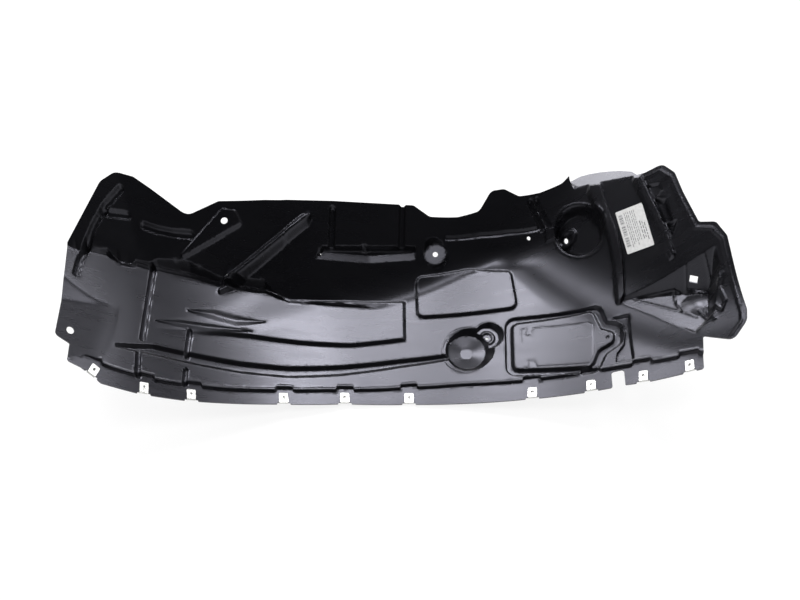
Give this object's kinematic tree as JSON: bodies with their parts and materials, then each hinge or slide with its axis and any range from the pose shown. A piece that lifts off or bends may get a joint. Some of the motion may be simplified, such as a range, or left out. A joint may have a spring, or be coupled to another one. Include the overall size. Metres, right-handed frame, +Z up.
{
  "type": "wheel arch liner",
  "caption": "Moulded plastic wheel arch liner: a curved barrel panel with a sloped inner wall, ribs, cups, screw holes, a stepped lip flange and push-on spring clips.",
  "frame": {"origin": "middle of the bounding box at the height of the lowest point of the convex back, which the liner lies on", "axes": "+X along the length of the liner, +Y from the fender lip to the inner wall, +Z up, out of the concave wheel side"},
  "size_m": [0.9181, 0.3328, 0.2465],
  "materials": {
    "panel": "satin black, moulded",
    "clips": "zinc-plated sheet steel",
    "label": "white coated paper with grey print"
  },
  "bodies": {
    "root": {"liner_panel": "panel", "label": "label", "clip_1": "clips", "clip_2": "clips", "clip_3": "clips", "clip_4": "clips", "clip_5": "clips", "clip_6": "clips", "clip_7": "clips", "clip_8": "clips", "clip_9": "clips", "clip_10": "clips"}
  },
  "joints": []
}
